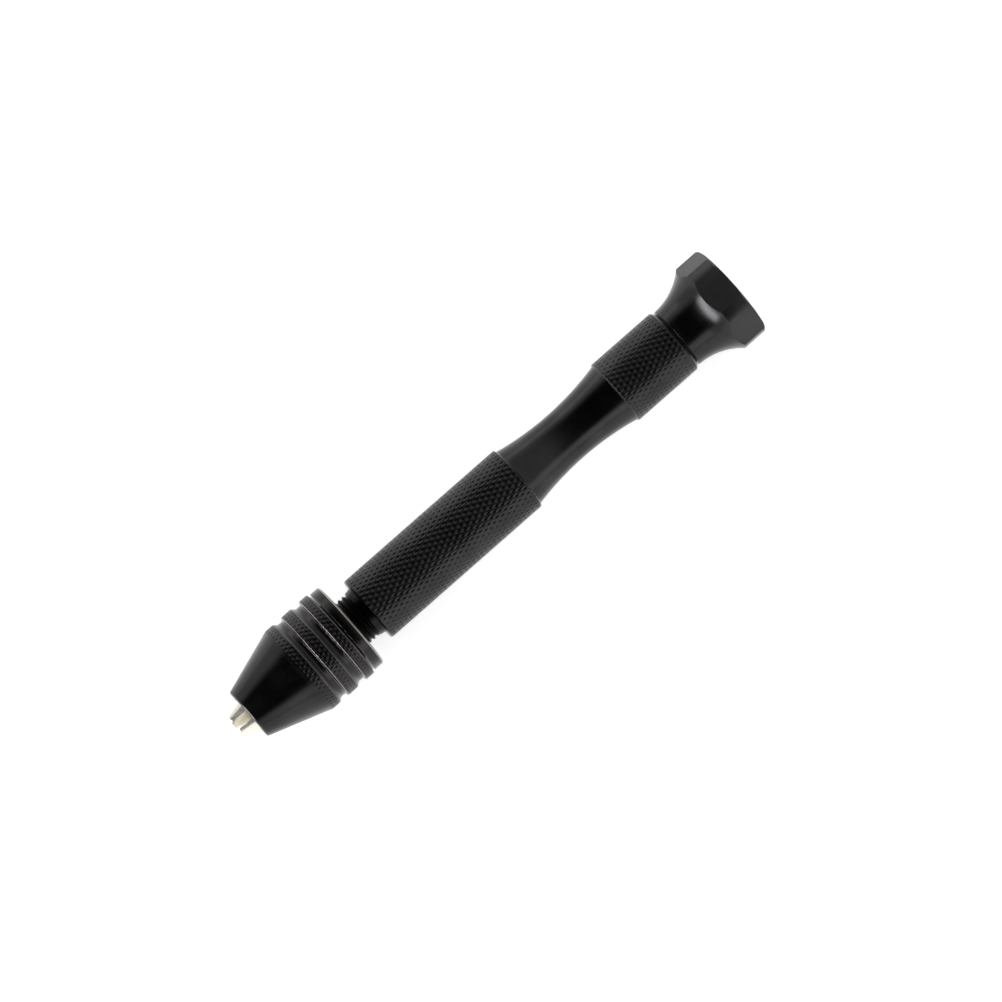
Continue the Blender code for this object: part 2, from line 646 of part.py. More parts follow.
def add_cap():
    """The palm cap: a flared collar under a round head with six flats."""
    rise = HEAD_RADIUS - COLLAR_OUTER_RADIUS
    flare_radius = (FLARE_LENGTH**2 + rise**2) / (2 * rise)
    flare_centre = (COLLAR_OUTER_RADIUS + flare_radius, CAP_FRONT)
    flare_start = math.pi - math.asin(FLARE_LENGTH / flare_radius)
    flare = sweep(flare_centre, flare_radius, flare_start, math.pi, LONG_ARC_POINTS)
    dome_radius_at_edge = HEAD_RADIUS - HEAD_CHAMFER
    dome_radius = (dome_radius_at_edge**2 + DOME_HEIGHT**2) / (2 * DOME_HEIGHT)
    dome_reach = math.asin(dome_radius_at_edge / dome_radius)
    dome_centre = (0, TOOL_LENGTH - dome_radius)
    dome = sweep(dome_centre, dome_radius, math.pi / 2, math.pi / 2 - dome_reach)
    pocket_end = SCREW_HEAD_REAR + SCREW_POCKET_CLEARANCE
    outline = [
        (0, TOOL_LENGTH),
        *dome[1:],
        (HEAD_RADIUS, CHAMFER_FRONT),
        *flare,
        (BEARING_SEAT_RADIUS, CAP_FRONT),
        (BEARING_SEAT_RADIUS, BEARING_REAR + SEAT_GAP),
        (SCREW_POCKET_RADIUS, BEARING_REAR + SEAT_GAP),
        (SCREW_POCKET_RADIUS, pocket_end),
        (0, pocket_end),
    ]
    cap = solid("swivel_cap", outline, BLACK_ANODISED)
    corner_radius = ACROSS_FLATS / 2 / math.cos(math.pi / 6)
    low = CAP_FRONT - SEAT_GAP
    high = TOOL_LENGTH + SEAT_GAP
    flats = prism("keep_cap_flats", corner_radius, low, high, along_tool(0), 6)
    combine(cap, flats, "INTERSECT")


clear_scene()
TOOL = new_collection("pin_vise_drill")
CUTTERS = new_collection("cutters")
add_handle()
add_stud()
add_chuck_body()
add_rear_ring()
add_retaining_ring()
add_sleeve()
add_carrier()
add_guide_pins()
for jaw_number, jaw_turn in enumerate(jaw_turns(), 1):
    add_jaw(jaw_number, jaw_turn)
add_bearing_rings()
add_cage_and_balls()
add_pivot()
add_cap()
shade_round_pieces()
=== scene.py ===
"""Looks of the pin vise drill: fine turned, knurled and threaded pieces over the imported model, with their
finishes, a pale floor, soft studio light and the camera.

Sizes are in millimetres and MM turns them into metres. The tool lies along X, its jaws towards -X.
"""

import json
import math
from collections import namedtuple

import bmesh
import bpy
import numpy as np
from mathutils import Matrix, Vector


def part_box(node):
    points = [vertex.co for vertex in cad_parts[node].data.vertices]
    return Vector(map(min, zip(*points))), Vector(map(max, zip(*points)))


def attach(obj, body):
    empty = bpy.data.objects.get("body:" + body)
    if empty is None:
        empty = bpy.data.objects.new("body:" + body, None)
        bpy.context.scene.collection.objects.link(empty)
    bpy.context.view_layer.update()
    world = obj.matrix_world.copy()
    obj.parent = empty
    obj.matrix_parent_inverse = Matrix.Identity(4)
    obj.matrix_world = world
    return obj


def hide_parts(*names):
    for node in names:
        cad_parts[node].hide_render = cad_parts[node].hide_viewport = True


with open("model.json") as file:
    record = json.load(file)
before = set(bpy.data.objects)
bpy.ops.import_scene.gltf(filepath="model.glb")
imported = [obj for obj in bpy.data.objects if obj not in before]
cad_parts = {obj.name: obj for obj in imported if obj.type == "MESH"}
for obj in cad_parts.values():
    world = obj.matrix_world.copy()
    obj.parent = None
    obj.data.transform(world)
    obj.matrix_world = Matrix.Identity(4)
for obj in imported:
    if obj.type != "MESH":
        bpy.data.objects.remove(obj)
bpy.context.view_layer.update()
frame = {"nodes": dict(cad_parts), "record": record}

MM = 0.001
NEARLY = 1e-6  # places and radii closer than this are the same


def box_mm(node):
    low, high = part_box(node)
    return low / MM, high / MM


def front_of(node):
    return box_mm(node)[0].x


def rear_of(node):
    return box_mm(node)[1].x


def width_of(node):
    low, high = box_mm(node)
    return high.y - low.y


# The tool's axis and the places of its pieces, from the frame
SLEEVE_LOW, SLEEVE_HIGH = box_mm("chuck_sleeve")
AXIS_Z = (SLEEVE_LOW.z + SLEEVE_HIGH.z) / 2
AXIS = Matrix.Translation((0, 0, AXIS_Z * MM))
NOSE_FACE = SLEEVE_LOW.x
SLEEVE_REAR = SLEEVE_HIGH.x
JAW_TIPS = front_of("jaw_1")
HANDLE_FRONT = front_of("handle_body")
SPIGOT_END = rear_of("handle_body")
CAP_FRONT = front_of("swivel_cap")
CAP_END = rear_of("swivel_cap")

# Facets around the turned pieces
FACETS = 192
THREAD_FACETS = 96
JAW_FACETS = 64
HOLE_FACETS = 32

# Diamond knurls: starts around the piece, length of one diamond along it, depth of its pits, how much of the
# way to a pit's middle is still ridge, and the radius over the ridges
GRIP_KNURL = {
    "Starts": 39,
    "Diamond Length": 1.66,
    "Pit Depth": 0.17,
    "Ridge Share": 0.23,
    "Outer Radius": width_of("handle_body") / 2,
}
RING_KNURL = {
    "Starts": 56,
    "Diamond Length": 1.30,
    "Pit Depth": 0.14,
    "Ridge Share": 0.21,
    "Outer Radius": width_of("chuck_sleeve") / 2,
}
FACETS_PER_DIAMOND = 8


# ---------------------------------------------------------------------------------------------
# Node trees written as expressions
# ---------------------------------------------------------------------------------------------


class Value:
    """An output socket that can be used in arithmetic; each operator adds a Math node."""

    def __init__(self, maker, socket):
        self.maker = maker
        self.socket = socket

    def math(self, operation, *others):
        return self.maker.node("ShaderNodeMath", {"operation": operation}, [self, *others])[0]

    def __add__(self, other):
        return self.math("ADD", other)

    def __mul__(self, other):
        return self.math("MULTIPLY", other)

    def __sub__(self, other):
        return self.math("SUBTRACT", other)

    def __truediv__(self, other):
        return self.math("DIVIDE", other)

    def __rsub__(self, other):
        return self.maker.node("ShaderNodeMath", {"operation": "SUBTRACT"}, [other, self])[0]

    __radd__ = __add__
    __rmul__ = __mul__

    def clamped(self, low, high):
        """0 at low and below, 1 at high and above, straight between."""
        return self.maker.node("ShaderNodeMapRange", {"clamp": True}, [self, low, high, 0.0, 1.0])[0]


class Maker:
    """Adds nodes to a material's or a geometry's tree."""

    def __init__(self, tree):
        self.tree = tree

    def node(self, kind, settings=None, inputs=()):
        """A node with its settings made first, then its inputs by position or by name. Returns its
        outputs."""
        node = self.tree.nodes.new(kind)
        for name, setting in (settings or {}).items():
            setattr(node, name, setting)
        pairs = inputs.items() if isinstance(inputs, dict) else enumerate(inputs)
        for key, value in pairs:
            if isinstance(value, Value):
                self.tree.links.new(value.socket, node.inputs[key])
            elif value is not None:
                node.inputs[key].default_value = value
        return [Value(self, socket) for socket in node.outputs]

    def noise(self, scale, detail, coordinates):
        settings = {"noise_dimensions": "3D"}
        sockets = {"Scale": scale, "Detail": detail, "Vector": coordinates}
        return self.node("ShaderNodeTexNoise", settings, sockets)[0]

    def attribute(self, name):
        """The number that a mesh stores under a name, 0 where it stores none."""
        return self.node("ShaderNodeAttribute", {"attribute_name": name})[2]

    def mix_colour(self, share, first, second):
        """first where share is 0 and second where it is 1."""
        sockets = {0: share, 6: first, 7: second}
        return self.node("ShaderNodeMix", {"data_type": "RGBA"}, sockets)[2]


# ---------------------------------------------------------------------------------------------
# Turned meshes
# ---------------------------------------------------------------------------------------------

# A corner of a turned outline: place along the tool, radius, size of its rounded edge, and how bare and
# bright its edge is painted, as worn metal and as a painted highlight
Corner = namedtuple("Corner", "x r edge wear", defaults=(0.06, 0.0))
SHARP = 0.0
EDGE_POINTS = 4
EDGE_REACH = 0.45  # how much of a straight stretch the edge at one end of it may take
ROW_REACH = 0.2  # how near a row may stand to the end of a stretch, as a share of the spacing

# A stretch along the tool that a pattern is cut in, and how far apart the rows of the mesh stand there
Cut = namedtuple("Cut", "start end spacing")


def rounded(outline, closed):
    """The outline with an arc in place of each corner, as rows of place, radius and how bare and bright the
    edge is painted there.
    """
    rows = []
    count = len(outline)
    for index, corner in enumerate(outline):
        at_end = not closed and index in (0, count - 1)
        here = Vector((corner.x, corner.r))
        if at_end or corner.edge == SHARP:
            rows.append((corner.x, corner.r, corner.wear))
            continue
        before = outline[index - 1]
        after = outline[(index + 1) % count]
        to_before = Vector((before.x, before.r)) - here
        to_after = Vector((after.x, after.r)) - here
        reach = min(corner.edge, to_before.length * EDGE_REACH, to_after.length * EDGE_REACH)
        first = here + to_before.normalized() * reach
        last = here + to_after.normalized() * reach
        for step in range(EDGE_POINTS):
            t = step / (EDGE_POINTS - 1)
            point = first * (1 - t) ** 2 + here * 2 * t * (1 - t) + last * t**2
            in_the_middle = 0 < step < EDGE_POINTS - 1
            rows.append((point.x, point.y, corner.wear if in_the_middle else 0.0))
    return rows


def with_rows(rows, cuts, closed):
    """Adds evenly spaced rows to the stretches of the outline that lie within a cut, and gives every row the
    share of the pattern that is cut there: 1 within a cut, 0 outside."""
    result = []
    last = len(rows) - 1
    for index, (x, r, wear) in enumerate(rows):
        around = [cut for cut in cuts if cut.start - NEARLY <= x <= cut.end + NEARLY]
        result.append((x, r, wear, 1.0 if around else 0.0))
        if index == last and not closed:
            break
        next_x, next_r, _ = rows[(index + 1) % len(rows)]
        for cut in around:
            if abs(next_x - x) <= cut.spacing or not cut.start - NEARLY <= next_x <= cut.end + NEARLY:
                continue
            for place in places_between(x, next_x, cut.spacing):
                share = (place - x) / (next_x - x)
                result.append((place, r + (next_r - r) * share, 0.0, 1.0))
    return result


def places_between(first, last, spacing):
    """The multiples of spacing between two places, in order from the first, but none too near to either."""
    low, high = sorted((first, last))
    places = np.arange(math.ceil(low / spacing) * spacing, high, spacing)
    if last < first:
        places = places[::-1]
    nearest = spacing * ROW_REACH
    return [float(place) for place in places if min(abs(place - first), abs(place - last)) >= nearest]


def lathe(name, outline, facets=FACETS, closed=True, cuts=(), place=AXIS):
    """A turned mesh around the tool's axis, or around the axis that place gives. The outline runs in either
    direction; a closed one makes a ring and an open one starts and ends on the axis."""
    mesh = bmesh.new()
    share_layer = mesh.verts.layers.float.new("cut_share")
    wear_and_highlight_layer = mesh.verts.layers.float.new("bare_edge_and_highlight")
    rings = []
    for x, r, wear, share in with_rows(rounded(outline, closed), cuts, closed):
        ring = []
        for facet in range(1 if r < NEARLY else facets):
            angle = math.tau * facet / facets
            point = Vector((x, r * math.cos(angle), r * math.sin(angle))) * MM
            vertex = mesh.verts.new(place @ point)
            vertex[share_layer] = share
            vertex[wear_and_highlight_layer] = wear
            ring.append(vertex)
        rings.append(ring)
    pairs = list(zip(rings, rings[1:]))
    if closed:
        pairs.append((rings[-1], rings[0]))
    for first, second in pairs:
        for facet in range(facets):
            after = (facet + 1) % facets
            corners = [
                first[facet % len(first)],
                first[after % len(first)],
                second[after % len(second)],
                second[facet % len(second)],
            ]
            mesh.faces.new(list(dict.fromkeys(corners)))
    return finished_mesh(name, mesh)


def finished_mesh(name, mesh):
    """A linked object from a bmesh, with its faces turned outwards and shaded smooth."""
    bmesh.ops.recalc_face_normals(mesh, faces=mesh.faces)
    data = bpy.data.meshes.new(name)
    mesh.to_mesh(data)
    mesh.free()
    data.shade_smooth()
    obj = bpy.data.objects.new(name, data)
    bpy.context.scene.collection.objects.link(obj)
    return obj


def cut_pattern(obj, tree, sizes, finish):
    """Runs a geometry tree over a mesh with the sizes given, and keeps the plain result."""
    modifier = obj.modifiers.new(tree.name, "NODES")
    modifier.node_group = tree
    sockets = {s.name: s.identifier for s in tree.interface.items_tree if s.in_out == "INPUT"}
    for name, size in sizes.items():
        modifier[sockets[name]] = float(size)
    modifier[sockets["Finish"]] = finish
    bpy.context.view_layer.update()
    graph = bpy.context.evaluated_depsgraph_get()
    data = bpy.data.meshes.new_from_object(obj.evaluated_get(graph))
    data.name = obj.name
    obj.modifiers.clear()
    obj.data = data
    data.shade_smooth()
    return obj


# ---------------------------------------------------------------------------------------------
# Geometry trees: diamond knurl and screw thread
# ---------------------------------------------------------------------------------------------


def pattern_tree(name, sizes):
    """An empty geometry tree with named size inputs. Returns it, its maker and its inputs."""
    tree = bpy.data.node_groups.new(name, "GeometryNodeTree")
    tree.interface.new_socket("Geometry", in_out="INPUT", socket_type="NodeSocketGeometry")
    for size in sizes:
        tree.interface.new_socket(size, in_out="INPUT", socket_type="NodeSocketFloat")
    tree.interface.new_socket("Finish", in_out="INPUT", socket_type="NodeSocketMaterial")
    tree.interface.new_socket("Geometry", in_out="OUTPUT", socket_type="NodeSocketGeometry")
    maker = Maker(tree)
    outputs = maker.node("NodeGroupInput")
    names = ["Geometry", *sizes, "Finish"]
    return tree, maker, dict(zip(names, outputs))


KNURL_SIZES = ["Starts", "Diamond Length", "Pit Depth", "Ridge Share", "Outer Radius"]
THREAD_SIZES = ["Pitch", "Thread Depth", "Crest Share", "Outer Radius"]


def around_axis(maker):
    """Place along the tool and distance from its axis in millimetres, turns about it, and the outward
    direction, of each point."""
    place = maker.node("GeometryNodeInputPosition")[0]
    x, y, z = maker.node("ShaderNodeSeparateXYZ", None, [place])[:3]
    height = z - AXIS_Z * MM
    turns = height.math("ARCTAN2", y) / math.tau
    sideways = maker.node("ShaderNodeCombineXYZ", None, [0.0, y, height])[0]
    outward = maker.node("ShaderNodeVectorMath", {"operation": "NORMALIZE"}, [sideways])[0]
    radius = maker.node("ShaderNodeVectorMath", {"operation": "LENGTH"}, [sideways])[1]
    return x / MM, radius / MM, turns, outward


def sink(maker, inputs, pit, full_depth):
    """Moves the points inwards, stores how high each stands, and gives the mesh its finish. pit is 0 on a
    crest and 1 at the bottom. Where the metal is already below the outer radius, less is left to cut."""
    share = maker.node("GeometryNodeInputNamedAttribute", {"data_type": "FLOAT"}, {"Name": "cut_share"})[0]
    _, radius, _, outward = around_axis(maker)
    depth = (pit * full_depth - (inputs["Outer Radius"] - radius)).math("MAXIMUM", 0.0)
    crest = 1 - depth / full_depth
    inwards = {0: outward, "Scale": depth * share * -MM}
    offset = maker.node("ShaderNodeVectorMath", {"operation": "SCALE"}, inwards)[0]
    moved = maker.node("GeometryNodeSetPosition", None, {"Geometry": inputs["Geometry"], "Offset": offset})[0]
    height = 1 - (1 - crest) * share
    settings = {"data_type": "FLOAT", "domain": "POINT"}
    sockets = {"Geometry": moved, "Name": "crest", "Value": height}
    stored = maker.node("GeometryNodeStoreNamedAttribute", settings, sockets)[0]
    real = maker.node("GeometryNodeRealizeInstances", None, [stored])[0]
    painted = maker.node("GeometryNodeSetMaterial", None, {"Geometry": real, "Material": inputs["Finish"]})[0]
    maker.node("NodeGroupOutput", None, [painted])


def diamond_knurl_tree():
    """Two crossing families of helical ridges, with a diamond pit between each four."""
    tree, maker, inputs = pattern_tree("diamond_knurl", KNURL_SIZES)
    place, _, turns, _ = around_axis(maker)
    pits = []
    for hand in (1, -1):
        phase = turns * inputs["Starts"] + place / inputs["Diamond Length"] * hand
        from_ridge = 0.5 - (phase.math("FRACT") - 0.5).math("ABSOLUTE")
        pits.append(from_ridge.clamped(inputs["Ridge Share"], 0.5))
    pit = pits[0].math("MINIMUM", pits[1])
    sink(maker, inputs, pit, inputs["Pit Depth"])
    return tree


def thread_tree():
    """A right-hand V thread with narrow flat crests."""
    tree, maker, inputs = pattern_tree("screw_thread", THREAD_SIZES)
    place, _, turns, _ = around_axis(maker)
    phase = (place / inputs["Pitch"] - turns).math("FRACT")
    from_crest = 0.5 - (phase - 0.5).math("ABSOLUTE")
    groove = from_crest.clamped(inputs["Crest Share"], 0.5)
    sink(maker, inputs, groove, inputs["Thread Depth"])
    return tree


# ---------------------------------------------------------------------------------------------
# Finishes
# ---------------------------------------------------------------------------------------------


EDGE_SHINE = 1.0  # how much the finishes still reflect at a glancing angle
CLOUD_SCALE = 180.0  # slow changes of colour and gloss over a surface, per metre
SPECK_SCALE = 2600.0  # fine ones
PIT_PAINTED_SHADE = 0.08  # painted shade at the bottom of a knurl or thread: its colour there, as a share of the dark colour
# Colour of bare edges: worn metal, and a painted highlight along the edges that catch the light
BARE_METAL_AND_HIGHLIGHT = (0.50, 0.47, 0.44, 1)
GRAIN_STRENGTH = 0.12
GRAIN_HEIGHT = 0.03 * MM
# How much rougher or lighter a milled flat, a worn edge and a knurl are than plain turned metal
MILLED_ROUGHER = 0.22
MILLED_LIGHTER = 0.02
WORN_ROUGHER = 0.22
KNURL_ROUGHER = 0.05
# The stretch of each noise, and of a pattern's height, over which the colour changes; over the height it
# changes into the painted pit shade
CLOUD_STRETCH = (0.35, 0.68)
SPECK_STRETCH = (0.3, 0.6)
HEIGHT_STRETCH = (0.15, 0.95)
CLOUD_GLOSS = 0.10
SPECK_GLOSS = 0.12
EVEN_WEAR = 0.65  # the share of a worn edge's bareness and painted highlight that is even; the specks give the rest
FULLY_WORN = 0.8


def finish_base(name, metallic, roughness):
    material = bpy.data.materials.new(name)
    material.use_nodes = True
    shader = material.node_tree.nodes["Principled BSDF"]
    shader.inputs["Metallic"].default_value = metallic
    shader.inputs["Roughness"].default_value = roughness
    shader.inputs["Specular Tint"].default_value = (EDGE_SHINE, EDGE_SHINE, EDGE_SHINE, 1)
    return material, shader


def metal_finish(name, dark, light, roughness, grain, metallic=1.0, brush=0.0):
    """A metal surface: its colour wanders between dark and light, pits are painted darker as shade, worn
    edges are painted barer and brighter, as bare metal and as a painted highlight, and milled flats duller,
    with a fine grain. brush stretches the grain around the axis, as a lathe leaves it."""
    material, shader = finish_base(name, metallic, roughness)
    maker = Maker(material.node_tree)
    links = material.node_tree.links
    coordinates = maker.node("ShaderNodeTexCoord")[3]
    crest, wear, milled, has_pattern = map(maker.attribute, ("crest", "bare_edge_and_highlight", "milled", "cut_share"))
    cloud = maker.noise(CLOUD_SCALE, 3.0, coordinates)
    speck = maker.noise(SPECK_SCALE, 2.0, coordinates)

    colour = maker.mix_colour(cloud.clamped(*CLOUD_STRETCH), (*dark, 1), (*light, 1))
    # Painted shade: the pits of knurls and threads are coloured darker than their crests
    painted_pit_shade = (*(channel * PIT_PAINTED_SHADE for channel in dark), 1)
    height = (1 - has_pattern) + crest * has_pattern
    colour = maker.mix_colour(height.clamped(*HEIGHT_STRETCH), painted_pit_shade, colour)
    # Edges painted barer and brighter: partly worn bare metal, partly a painted highlight
    speckled = EVEN_WEAR + speck.clamped(*SPECK_STRETCH) * (1 - EVEN_WEAR)
    bare_and_highlit = (wear * speckled).clamped(0.0, FULLY_WORN)
    colour = maker.mix_colour(bare_and_highlit + milled * MILLED_LIGHTER, colour, BARE_METAL_AND_HIGHLIGHT)
    links.new(colour.socket, shader.inputs["Base Color"])

    gloss = roughness + (cloud - 0.5) * CLOUD_GLOSS + (speck - 0.5) * SPECK_GLOSS
    gloss = gloss + bare_and_highlit * WORN_ROUGHER + milled * MILLED_ROUGHER + has_pattern * KNURL_ROUGHER
    links.new(gloss.clamped(0.0, 1.0).socket, shader.inputs["Roughness"])

    stretch = {"Vector": coordinates, "Scale": (1.0, 1 - brush, 1 - brush)}
    along_grain = maker.node("ShaderNodeMapping", None, stretch)[0]
    grit = maker.noise(grain, 3.0, along_grain)
    sockets = {"Strength": GRAIN_STRENGTH, "Distance": GRAIN_HEIGHT, "Height": grit}
    bump = maker.node("ShaderNodeBump", None, sockets)[0]
    links.new(bump.socket, shader.inputs["Normal"])
    return material


LOOKS = {
    "black_anodised": dict(
        dark=(0.030, 0.030, 0.031), light=(0.042, 0.042, 0.043), roughness=0.21, grain=9000
    ),
    "black_chuck": dict(dark=(0.029, 0.028, 0.029), light=(0.041, 0.039, 0.039), roughness=0.20, grain=7000),
    "black_steel": dict(
        dark=(0.012, 0.011, 0.011), light=(0.019, 0.018, 0.017), roughness=0.28, grain=6000, brush=0.8
    ),
    "bright_jaw_steel": dict(
        dark=(0.80, 0.76, 0.66), light=(0.91, 0.88, 0.80), roughness=0.25, grain=5000, metallic=0.85
    ),
    "bearing_steel": dict(dark=(0.60, 0.61, 0.63), light=(0.70, 0.71, 0.73), roughness=0.15, grain=5000),
    "spring_steel": dict(dark=(0.32, 0.33, 0.35), light=(0.44, 0.45, 0.47), roughness=0.30, grain=5000),
    "brass": dict(dark=(0.62, 0.42, 0.17), light=(0.78, 0.56, 0.26), roughness=0.30, grain=5000, brush=0.8),
}
FINISHES = {name: metal_finish(name, **look) for name, look in LOOKS.items()}

KNURL = diamond_knurl_tree()
THREAD = thread_tree()


def keep(obj, node, body, slot):
    """Gives a finished piece its material slot and its body, and hides the node that it stands for."""
    if not obj.data.materials:
        obj.data.materials.append(FINISHES[slot])
    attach(obj, body)
    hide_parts(node)
    return obj


# ---------------------------------------------------------------------------------------------
# Handle
# ---------------------------------------------------------------------------------------------

GRIP_RADIUS = GRIP_KNURL["Outer Radius"]
LOWER_GRIP_LENGTH = 29.75
WAIST_LENGTH = 19.10
UPPER_GRIP_LENGTH = 12.05
WAIST_FRONT_RADIUS = 5.05
WAIST_REAR_RADIUS = 5.15
WAIST_RADIUS = 4.13
WAIST_NARROWEST = 9.11  # from the waist's front
WAIST_ROWS = 24
FRONT_CHAMFER = 0.22
REAR_CHAMFER = 0.43
UPPER_GRIP_UNDERCUT = 0.02  # the upper grip is this much slimmer than the lower one
# The shoulders between the grips and the waist: how far their tops stand out into each grip, how far their
# feet stand into the waist and above its radius, and where the waist's curve takes over
FRONT_SHOULDER_TOP, REAR_SHOULDER_TOP = 0.15, 0.12
SHOULDER_FOOT, SHOULDER_FOOT_RISE = 0.05, 0.02
WAIST_INSET = 0.12
SHOULDER_EDGE = 0.04
OVERRUN = 0.01  # how far a knurl is cut past its grip's last corner
SEAT_RADIUS, SEAT_DEPTH = 4.3, 0.8  # for the stud's collar
STUD_BORE_RADIUS, STUD_BORE_DEPTH = 3.1, 10.2
SPIGOT_RADIUS = 4.5
SCREW_BORE_RADIUS, SCREW_BORE_DEPTH = 1.55, 7.8


def arc_through(first, middle, last, count):
    """Corners on the circle through three (x, r) points."""
    a, b, c = Vector(first), Vector(middle), Vector(last)
    twice_area = 2 * (a.x * (b.y - c.y) + b.x * (c.y - a.y) + c.x * (a.y - b.y))
    sa, sb, sc = a.length_squared, b.length_squared, c.length_squared
    x = (sa * (b.y - c.y) + sb * (c.y - a.y) + sc * (a.y - b.y)) / twice_area
    y = (sa * (c.x - b.x) + sb * (a.x - c.x) + sc * (b.x - a.x)) / twice_area
    centre = Vector((x, y))
    radius = (a - centre).length
    places = np.linspace(a.x, c.x, count)
    side = -1 if b.y < y else 1
    return [Corner(float(p), y + side * math.sqrt(radius**2 - (p - x) ** 2), 0.0) for p in places]


def make_handle():
    waist_front = HANDLE_FRONT + LOWER_GRIP_LENGTH
    waist_rear = waist_front + WAIST_LENGTH
    rear = waist_rear + UPPER_GRIP_LENGTH
    upper_radius = GRIP_RADIUS - UPPER_GRIP_UNDERCUT
    waist = arc_through(
        (waist_front + WAIST_INSET, WAIST_FRONT_RADIUS),
        (waist_front + WAIST_NARROWEST, WAIST_RADIUS),
        (waist_rear - WAIST_INSET, WAIST_REAR_RADIUS),
        WAIST_ROWS,
    )
    outline = [
        Corner(HANDLE_FRONT + STUD_BORE_DEPTH, 0.0),
        Corner(HANDLE_FRONT + STUD_BORE_DEPTH, STUD_BORE_RADIUS, SHARP),
        Corner(HANDLE_FRONT + SEAT_DEPTH, STUD_BORE_RADIUS, SHARP),
        Corner(HANDLE_FRONT + SEAT_DEPTH, SEAT_RADIUS, SHARP),
        Corner(HANDLE_FRONT, SEAT_RADIUS),
        Corner(HANDLE_FRONT, GRIP_RADIUS - FRONT_CHAMFER),
        Corner(HANDLE_FRONT + FRONT_CHAMFER, GRIP_RADIUS),
        Corner(waist_front - FRONT_SHOULDER_TOP, GRIP_RADIUS),
        Corner(waist_front + SHOULDER_FOOT, WAIST_FRONT_RADIUS + SHOULDER_FOOT_RISE, SHOULDER_EDGE),
        *waist,
        Corner(waist_rear - SHOULDER_FOOT, WAIST_REAR_RADIUS + SHOULDER_FOOT_RISE, SHOULDER_EDGE),
        Corner(waist_rear + REAR_SHOULDER_TOP, upper_radius),
        Corner(rear - REAR_CHAMFER, upper_radius),
        Corner(rear, GRIP_RADIUS - REAR_CHAMFER),
        Corner(rear, SPIGOT_RADIUS),
        Corner(SPIGOT_END, SPIGOT_RADIUS),
        Corner(SPIGOT_END, SCREW_BORE_RADIUS, SHARP),
        Corner(SPIGOT_END - SCREW_BORE_DEPTH, SCREW_BORE_RADIUS, SHARP),
        Corner(SPIGOT_END - SCREW_BORE_DEPTH, 0.0),
    ]
    spacing = GRIP_KNURL["Diamond Length"] / FACETS_PER_DIAMOND
    cuts = [
        Cut(HANDLE_FRONT + FRONT_CHAMFER, waist_front - FRONT_SHOULDER_TOP + OVERRUN, spacing),
        Cut(waist_rear + REAR_SHOULDER_TOP, rear - REAR_CHAMFER + OVERRUN, spacing),
    ]
    facets = GRIP_KNURL["Starts"] * FACETS_PER_DIAMOND
    handle = lathe("handle", outline, facets, False, cuts)
    cut_pattern(handle, KNURL, GRIP_KNURL, FINISHES["black_anodised"])
    keep(handle, "handle_body", "handle", "black_anodised")


# ---------------------------------------------------------------------------------------------
# Stud
# ---------------------------------------------------------------------------------------------

STUD_THREAD = {"Pitch": 0.75, "Thread Depth": 0.40, "Crest Share": 0.06, "Outer Radius": 3.98}
ROWS_PER_PITCH = 12
TAIL_RADIUS, TAIL_LENGTH, TAIL_EDGE = 3.0, 9.4, 0.3  # the plain end in the handle
COLLAR_RADIUS_FRONT, COLLAR_RADIUS_REAR = 4.02, 4.2
COLLAR_SHOWN = 1.0  # how far the collar stands out of the handle
COLLAR_STEP = 0.1  # where its taper ends, behind the thread
TIP_RADIUS, TIP_CHAMFER = 3.55, 0.4
THREAD_OVERRUN = 0.02  # how far the thread is cut past each of its ends


def make_stud():
    tip = front_of("threaded_stud")
    tail = rear_of("threaded_stud")
    crests = STUD_THREAD["Outer Radius"]
    thread_end = HANDLE_FRONT - COLLAR_SHOWN
    outline = [
        Corner(tail, 0.0),
        Corner(tail, TAIL_RADIUS, TAIL_EDGE),
        Corner(tail - TAIL_LENGTH, TAIL_RADIUS),
        Corner(tail - TAIL_LENGTH, COLLAR_RADIUS_REAR),
        Corner(HANDLE_FRONT, COLLAR_RADIUS_REAR),
        Corner(thread_end + COLLAR_STEP, COLLAR_RADIUS_FRONT, 0.05),
        Corner(thread_end, crests, 0.03),
        Corner(tip + TIP_CHAMFER, crests),
        Corner(tip, TIP_RADIUS),
        Corner(tip, 0.0),
    ]
    spacing = STUD_THREAD["Pitch"] / ROWS_PER_PITCH
    cuts = [Cut(tip + TIP_CHAMFER - THREAD_OVERRUN, thread_end + THREAD_OVERRUN, spacing)]
    stud = lathe("threaded_stud_cut", outline, THREAD_FACETS, False, cuts)
    cut_pattern(stud, THREAD, STUD_THREAD, FINISHES["black_steel"])
    keep(stud, "threaded_stud", "handle", "black_steel")


# ---------------------------------------------------------------------------------------------
# Chuck
# ---------------------------------------------------------------------------------------------

RING_RADIUS = RING_KNURL["Outer Radius"]
CONE_LENGTH = 9.97
NOSE_RADIUS = 4.325
NOSE_OPENING = 2.95
NOSE_EDGE = 0.14
RING_WIDTHS = (1.48, 1.90, 1.57)
GROOVE_WIDTHS = (1.57, 1.61)
GROOVE_DEPTH = 0.50
FRONT_BEVEL = 0.60
REAR_BEVEL = 0.20
PLAIN_MARGIN = 0.15  # beside each knurl
KNURL_RUN_OUT = 0.60  # of the first knurl, onto the cone
KNURL_FADE = 0.08
SKIRT_INSET = 0.375  # of the plain end behind the last ring
JAW_ANGLE = math.radians(17.0)
# Inside the sleeve: its bore, the groove for the retaining ring, and where the bore meets the jaws' cone
SLEEVE_BORE = 5.5
CLIP_GROOVE_RADIUS = 6.0
CLIP_GROOVE_FROM_REAR = (1.85, 3.05)
BORE_START = 5.95
JAW_CONE_END = 5.65


